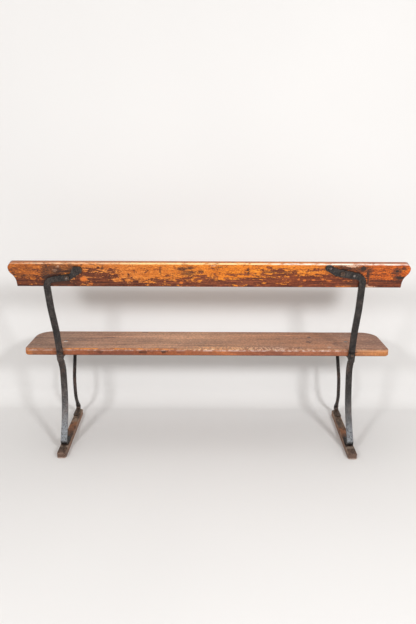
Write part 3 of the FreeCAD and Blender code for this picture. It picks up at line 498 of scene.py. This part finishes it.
def seat_lip(m, seat, colour):
    """Two bands on the arris, worn wood and painted highlight: amber to the left and cream in the middle
    above, pinkish below.
    """
    upper = m.product(m.range(seat.z, SEAT_TOP - 0.0062, SEAT_TOP - 0.0042),
                      m.range(seat.z, SEAT_TOP - 0.0004, SEAT_TOP - 0.0018), m.line(seat.x, UPPER_LIP_WEAR_AND_HIGHLIGHT))
    lower = m.product(m.range(seat.z, SEAT_TOP - 0.0125, SEAT_TOP - 0.0095),
                      m.range(seat.z, SEAT_TOP - 0.0042, SEAT_TOP - 0.0062), m.line(seat.x, LOWER_LIP_WEAR_AND_HIGHLIGHT))
    scallops = m.noise(seat.place, (48, 30, 90), 3, 0.6)
    gaps = m.noise(seat.place, (24, 40, 160), 4, 0.65)
    amber = m.mix(m.range(scallops, 0.44, 0.56), srgb(168, 100, 52), srgb(228, 140, 50))
    cream = m.mix(m.range(scallops, 0.46, 0.58), srgb(178, 126, 92), srgb(240, 200, 158))
    lip = m.mix(m.range(seat.x, -0.16, -0.05), amber, cream)
    colour = m.mix(m.product(upper, m.range(gaps, 0.38, 0.50, 0.2, 1.0)), colour, lip)
    pinkish = m.mix(m.range(scallops, 0.44, 0.58), srgb(158, 110, 88), srgb(222, 196, 184))
    pinkish = m.mix(m.range(seat.x, 0.56, 0.64), pinkish, LIP_RIGHT_END)
    return m.mix(m.product(lower, m.range(gaps, 0.36, 0.50, 0.3, 1.0)), colour, pinkish)


def seat_wood():
    m = Shading("seat_plank")
    place = m.place()
    x, y, z = m.parts(place)
    grit = m.noise(place, (130, 90, 120), 4, 0.6)
    seat = SimpleNamespace(
        place=place, x=x, y=y, z=z, grit=grit, uneven=m.swing(grit, 0.4),
        bands=m.noise(place, (1.0, 26, 20), 3, 0.55, 0.3),
        lines=m.noise(place, (2.2, 95, 60), 5, 0.6, 0.3),
        fibre=m.noise(place, (14, 520, 300), 5, 0.7),
        blotch=m.noise(place, (5, 14, 14), 3, 0.5))
    low = m.sum(z, m.swing(grit, 0.0012))
    below_top = m.range(low, SEAT_TOP - 0.002, SEAT_TOP - 0.007)
    colour = m.mix(below_top, seat_top(m, seat), seat_face(m, seat))
    colour = seat_lip(m, seat, colour)
    under = m.range(z, SEAT_UNDER + 0.003, SEAT_UNDER)
    colour = m.mix(m.product(under, 0.8), colour, SEAT_UNDERSIDE)
    m.relief(m.sum(seat.lines, m.product(seat.fibre, 0.6), m.product(grit, 0.3)), 0.0006, 0.0015)
    return m.finish(colour, m.range(seat.fibre, 0.3, 0.7, 0.42, 0.66), Specular_IOR_Level=0.25)


# Runners

# Display colours along the runner's top behind its scuffed patch, and along its flanks
RUNNER_TONES = [
    (RUNNER_REAR, (104, 84, 70)), (-0.182, (100, 80, 68)), (-0.166, (78, 62, 52)),
    (-0.152, (140, 124, 112)), (-0.143, (140, 124, 112)), (-0.137, (62, 48, 42)), (-0.06, (70, 52, 42))]
FLANK_TONES = [(RUNNER_REAR, (110, 92, 82)), (-0.12, (136, 104, 86)), (RUNNER_FRONT, (146, 110, 88))]

# Where the scuffed patch is on each runner, and the display colour in front of it
RUNNER_PATCH = {"left": 0.0, "right": -0.045}
RUNNER_FRONT_TONE = {"left": (138, 116, 98), "right": (108, 90, 76)}

# The middle of the end grain's rings, and the unit in which the distance from it is measured
RUNNER_HEART = {"left": (-0.588, RUNNER_REAR, 0.004), "right": (0.566, RUNNER_REAR, 0.006)}
HEART_UNIT = 0.004

RUNNER_BLOTCH = srgb(58, 44, 38)
RUNNER_SCUFF = srgb(158, 122, 96)
FLANK_BLOTCH = srgb(104, 72, 56)
RUNNER_ARRIS_HIGHLIGHT = srgb(168, 140, 118)
RUNNER_END = srgb(76, 56, 47)
RUNNER_RING = srgb(150, 122, 106)
RUNNER_SOLE_SCUFF_AND_HIGHLIGHT = srgb(186, 168, 156)


def runner_top(m, y, blotch, grit, side):
    """The top: pale behind the heel, dark under the bars, scuffed in front."""
    patch, front = RUNNER_PATCH[side], RUNNER_FRONT_TONE[side]
    ahead = [(patch, (122, 82, 58)), (patch + 0.06, (142, 94, 62)), (patch + 0.085, front),
             (RUNNER_FRONT, front)]
    top = m.tones(y, RUNNER_TONES + ahead)
    top = m.mix(m.range(blotch, 0.46, 0.60, 0.0, 0.7), top, RUNNER_BLOTCH)
    return m.mix(m.range(grit, 0.58, 0.68, 0.0, 0.6), top, RUNNER_SCUFF)


def runner_flank(m, y, blotch):
    return m.mix(m.range(blotch, 0.5, 0.66, 0.0, 0.45), m.tones(y, FLANK_TONES), FLANK_BLOTCH)


def runner_wood(side):
    m = Shading("runner_stain_" + side)
    place = m.place()
    y, z = m.parts(place)[1:]
    fibre = m.noise(place, (420, 16, 420), 5, 0.65)
    blotch = m.noise(place, (40, 22, 40), 4, 0.6)
    grit = m.noise(place, (170, 90, 170), 4, 0.65)
    below_top = m.range(z, RUNNER_TOP - 0.001, RUNNER_TOP - 0.004)
    colour = m.mix(below_top, runner_top(m, y, blotch, grit, side), runner_flank(m, y, blotch))
    # A pale line along the top arris: a painted highlight on the edge
    arris = m.product(m.range(z, RUNNER_TOP - 0.004, RUNNER_TOP - 0.002),
                      m.range(z, RUNNER_TOP, RUNNER_TOP - 0.001))
    colour = m.mix(m.product(arris, m.range(blotch, 0.6, 0.4, 0.1, 0.7)), colour, RUNNER_ARRIS_HIGHLIGHT)
    colour = m.times(colour, m.shade(fibre, 0.66, 1.24))
    colour = m.times(colour, m.shade(grit, 0.75, 1.2))

    # End grain: rings round a heart below the middle of the rear end
    away = m.distance(place, RUNNER_HEART[side], (HEART_UNIT, 1, HEART_UNIT))
    rings = m.calculate("SINE", m.product(away, 4.5))
    ends = m.range(y, RUNNER_REAR + 0.014, RUNNER_REAR + 0.004)
    colour = m.mix(m.product(ends, m.range(blotch, 0.35, 0.6, 0.5, 0.95)), colour, RUNNER_END)
    colour = m.mix(m.product(ends, m.range(rings, -0.2, 0.8, 0.05, 0.5)), colour, RUNNER_RING)
    # The lowest edge of the rear end is paled: scuffed wood and a painted highlight on its rounded arris
    sole_scuff_and_highlight = m.product(ends, m.range(z, 0.007, 0.002), m.range(grit, 0.40, 0.55, 0.3, 0.8))
    colour = m.mix(sole_scuff_and_highlight, colour, RUNNER_SOLE_SCUFF_AND_HIGHLIGHT)
    m.relief(m.sum(fibre, m.product(blotch, 0.5)), 0.0006, 0.0015)
    return m.finish(colour, m.range(fibre, 0.3, 0.7, 0.5, 0.72), Specular_IOR_Level=0.3)


# Iron

# Painted light and shade against height, as a multiplier, for the bars of the left frame, of the right
# frame, and for the round legs
TONE_REACH = 1.5
LEFT_LIGHT_AND_SHADE = [
    (0.0, 1.0), (0.15, 1.1), (0.22, 1.1), (0.31, 0.8), (0.345, 1.3), (0.385, 1.3), (0.42, 0.9), (0.8, 0.9)]
RIGHT_LIGHT_AND_SHADE = [
    (0.0, 1.0), (0.13, 0.85), (0.20, 0.55), (0.31, 0.82), (0.36, 1.0), (0.42, 0.64), (0.56, 0.66),
    (0.64, 0.85), (0.69, 0.6), (0.72, 0.95), (0.8, 1.0)]
# The round legs turn near black above 0.26 m: painted shade under the seat
ROD_LIGHT_AND_SHADE = [(0.0, 1.3), (0.20, 1.0), (0.25, 0.9), (0.262, 0.5), (0.285, 0.1), (0.8, 0.1)]

# How much oxide shows against height: most at the lap below the seat
LAP_OXIDE = [(0.0, 0.4), (0.20, 0.5), (0.31, 0.7), (0.34, 1.0), (0.40, 1.0), (0.44, 0.3), (0.8, 0.25)]

PAINT = [(0.36, srgb(20, 18, 18)), (0.5, srgb(42, 39, 38)), (0.62, srgb(78, 71, 67))]
OXIDE = srgb(116, 82, 64)
BARED_IRON_AND_SHEEN = srgb(134, 139, 145)
PALE_SCALE = srgb(128, 121, 117)
DARK_PIT = srgb(14, 13, 14)
# Painted shade at the straps' heels, where they curl down onto the runner
STRAP_FOOT_SHADE = srgb(15, 13, 13)
ROD_FOOT = srgb(82, 67, 57)


def forged_iron(name, light, warm, sheen, reach, tone, foot):
    """Worn black paint over forged iron.

    Light is a painted light level that lifts or lowers its tone, warm adds brown oxide, sheen bares the
    heels and paints a sheen on them, and reach is how far up both go. Tone is a line of painted light and
    shade against height, and foot the colour of the lowest bit: painted shade on the straps, rusted scuffed
    iron on the round legs."""
    m = Shading(name)
    place = m.place()
    z = m.parts(place)[2]
    lumps = m.noise(place, (60, 60, 30), 4, 0.55)
    scale = m.noise(place, (210, 210, 210), 5, 0.7)
    drawn = m.noise(place, (420, 420, 9), 4, 0.6)
    streak = m.noise(place, (190, 190, 7), 3, 0.5)
    colour = m.ramp(m.weigh((lumps, 0.6), (drawn, 0.4)), PAINT)
    colour = m.times(colour, m.shade(drawn, light * 0.9, light * 1.1))
    colour = m.times(colour, m.shade(streak, 0.7, 1.3))

    # Brown oxide round the lap below the seat, paint rubbed to bright blue-grey metal at the heels, with a
    # painted sheen on it
    rust = m.range(m.noise(place, (26, 26, 20), 5, 0.65), 0.50, 0.66)
    oxide = m.product(m.sum(m.product(rust, 0.7), 0.15), m.line(z, LAP_OXIDE), warm)
    colour = m.mix(oxide, colour, OXIDE)
    # The heels are painted bare blue-grey metal with a painted sheen on top
    heel = m.line(z, [(0.0, 0.0), (0.032, 0.0), (0.045, sheen), (0.08, sheen), (0.11, 0.8 * sheen * reach),
                      (0.15, 0.35 * sheen * reach), (0.24, 0.08 * sheen * reach), (0.8, 0.0)])
    rubs = m.sum(scale, m.swing(drawn, 0.08), m.swing(streak, 0.12))
    colour = m.mix(m.product(heel, m.range(rubs, 0.36, 0.58, 0.2, 1.0)), colour, BARED_IRON_AND_SHEEN)
    colour = m.mix(m.range(scale, 0.58, 0.67, 0.0, 0.55), colour, PALE_SCALE)
    colour = m.mix(m.range(scale, 0.43, 0.35, 0.0, 0.8), colour, DARK_PIT)
    # Painted light and shade against height
    colour = m.times(colour, m.line(z, tone, TONE_REACH))
    # The lowest 36 mm take the foot colour: painted shade on the straps, rusted scuffed iron on the round
    # legs
    colour = m.mix(m.range(z, 0.036, 0.030, 0.0, 0.8), colour, foot)
    m.relief(m.sum(lumps, m.product(scale, 0.5)), 0.0012, 0.0014)
    return m.finish(colour, m.range(scale, 0.3, 0.7, 0.36, 0.56), Metallic=0.3)


def worn_metal(name, low, high):
    """Handled heads and nuts, rubbed brighter than the bars."""
    m = Shading(name)
    rubbed = m.noise(m.place(), (180, 180, 180), 4, 0.6)
    colour = m.mix(m.range(rubbed, 0.35, 0.62), srgb(*low), srgb(*high))
    m.relief(rubbed, 0.0006, 0.0008)
    return m.finish(colour, m.range(rubbed, 0.3, 0.7, 0.5, 0.34), Metallic=0.45)


def dress(names, material):
    for name in names:
        mesh = NODES[name].data
        mesh.materials.clear()
        mesh.materials.append(material)


def dress_side(side, straps, rods, rusty, dark):
    """The runner, bars and small fixings of one side frame."""
    dress(["runner_" + side], runner_wood(side))
    dress([piece + side for piece in ("back_bar_", "rear_leg_", "bearer_")], straps)
    dress(["front_leg_" + side], rods)
    dress([piece + side for piece in ("rail_nut_", "lap_rivet_", "front_foot_screws_")], rusty)
    dress([piece + side for piece in ("seat_nut_", "palm_screws_", "rear_foot_screws_")], dark)


def dress_all():
    dress(["back_rail"], rail_wood())
    dress(["seat_board"], seat_wood())
    straps = {"left": forged_iron("strap_iron_left", 0.9, 0.6, 0.95, 0.7, LEFT_LIGHT_AND_SHADE, STRAP_FOOT_SHADE),
              "right": forged_iron("strap_iron_right", 0.85, 0.4, 0.85, 0.35, RIGHT_LIGHT_AND_SHADE, STRAP_FOOT_SHADE)}
    # The round legs get a low light level, as painted shade under the seat
    rods = forged_iron("rod_iron", 0.45, 0.9, 0.1, 1.0, ROD_LIGHT_AND_SHADE, ROD_FOOT)
    dark = worn_metal("dark_fixings", (40, 36, 35), (78, 70, 66))
    bright = worn_metal("bright_fixings", (84, 76, 72), (140, 130, 126))
    rusty = worn_metal("rusty_fixings", (62, 48, 40), (112, 90, 76))
    for side in SIDES:
        dress_side(side, straps[side], rods, rusty, dark)
    dress(["rail_screws_right", "rail_bolt_left", "seat_bolt_left", "seat_bolt_right"], bright)
    dress(["rail_screws_left"], dark)
    dress(["rail_bolt_right"], rusty)


# Floor and backdrop

# A pale floor from behind the camera to beyond the wall, and a wall that curves up close in front of the
# bench, 0.33 m from the bench's middle
FLOOR_NEAR = -6.0
FLOOR_FAR = 8.0
WALL_FOOT = 0.25
WALL_BEND = 0.08
WALL_TOP = 5.0
BEND_STEPS = 12
BACKDROP_HALF_WIDTH = 8.0
BACKDROP_LOW = srgb(232, 232, 232)
BACKDROP_HIGH = srgb(235, 235, 235)


def backdrop_sheet(name, profile, one_sided):
    """A pale sheet along X through (y, z) points."""
    vertices = [(side * BACKDROP_HALF_WIDTH, y, z) for y, z in profile for side in (-1, 1)]
    faces = [(2 * i, 2 * i + 1, 2 * i + 3, 2 * i + 2) for i in range(len(profile) - 1)]
    mesh = bpy.data.meshes.new(name)
    mesh.from_pydata(vertices, [], faces)
    for polygon in mesh.polygons:
        polygon.use_smooth = True
    sheet = bpy.data.objects.new(name, mesh)
    bpy.context.collection.objects.link(sheet)
    m = Shading(name + "_paper")
    tone = m.range(m.noise(m.place(), (0.8, 0.8, 0.8), 2), 0.3, 0.7)
    colour = m.mix(tone, BACKDROP_LOW, BACKDROP_HIGH)
    if one_sided:
        m.open_behind()
    mesh.materials.append(m.finish(colour, m.range(tone, 0, 1, 0.85, 0.95), Specular_IOR_Level=0.1))


def sweep_backdrop():
    profile = []
    for step in range(BEND_STEPS + 1):
        turn = math.radians(90 * step / BEND_STEPS)
        profile.append((WALL_FOOT + WALL_BEND * math.sin(turn), WALL_BEND - WALL_BEND * math.cos(turn)))
    profile.append((WALL_FOOT + WALL_BEND, WALL_TOP))
    backdrop_sheet("wall", profile, True)
    backdrop_sheet("floor", [(FLOOR_NEAR, 0.0), (WALL_FOOT, 0.0), (FLOOR_FAR, 0.0)], False)


# Light and camera

SKY_COLOUR = (1.0, 0.93, 0.865, 1.0)
SKY_STRENGTH = 0.5
LAMP_SIZE = 0.5
LAMP_TARGET = Vector((0, 0, 0.4))
LAMPS = {"right_lamp": (Vector((1.6, -2.8, 1.95)), 52), "left_lamp": (Vector((-1.6, -2.8, 1.95)), 37)}

# The photo's camera: its place, its lens and film width in millimetres, and how it is tilted
CAMERA_PLACE = (-0.0020, -2.3786, 1.2493)
CAMERA_LENS = 35.02
CAMERA_WIDTH = 36.0
CAMERA_PITCH = math.radians(16.3)
CAMERA_ROLL = math.radians(0.242)


def lamp(name, place, power):
    light = bpy.data.lights.new(name, "AREA")
    light.shape = "DISK"
    light.size = LAMP_SIZE
    light.energy = power
    lamp_object = bpy.data.objects.new(name, light)
    bpy.context.collection.objects.link(lamp_object)
    lamp_object.location = place
    lamp_object.rotation_euler = (LAMP_TARGET - place).to_track_quat("-Z", "Y").to_euler()


def light_studio():
    """Even light from the sky and two soft lamps, one each side behind the camera."""
    world = bpy.data.worlds.new("studio")
    bpy.context.scene.world = world
    world.use_nodes = True
    background = world.node_tree.nodes["Background"]
    background.inputs["Color"].default_value = SKY_COLOUR
    background.inputs["Strength"].default_value = SKY_STRENGTH
    for name, (place, power) in LAMPS.items():
        lamp(name, place, power)


def place_camera():
    camera = bpy.data.cameras.new("camera")
    camera.sensor_width = CAMERA_WIDTH
    camera.lens = CAMERA_LENS
    camera_object = bpy.data.objects.new("camera", camera)
    bpy.context.collection.objects.link(camera_object)
    camera_object.matrix_world = (Matrix.Translation(CAMERA_PLACE)
                                  @ Matrix.Rotation(math.pi / 2 - CAMERA_PITCH, 4, "X")
                                  @ Matrix.Rotation(CAMERA_ROLL, 4, "Z"))
    bpy.context.scene.camera = camera_object


bpy.context.scene.view_settings.view_transform = "Standard"
dress_all()
sweep_backdrop()
light_studio()
place_camera()
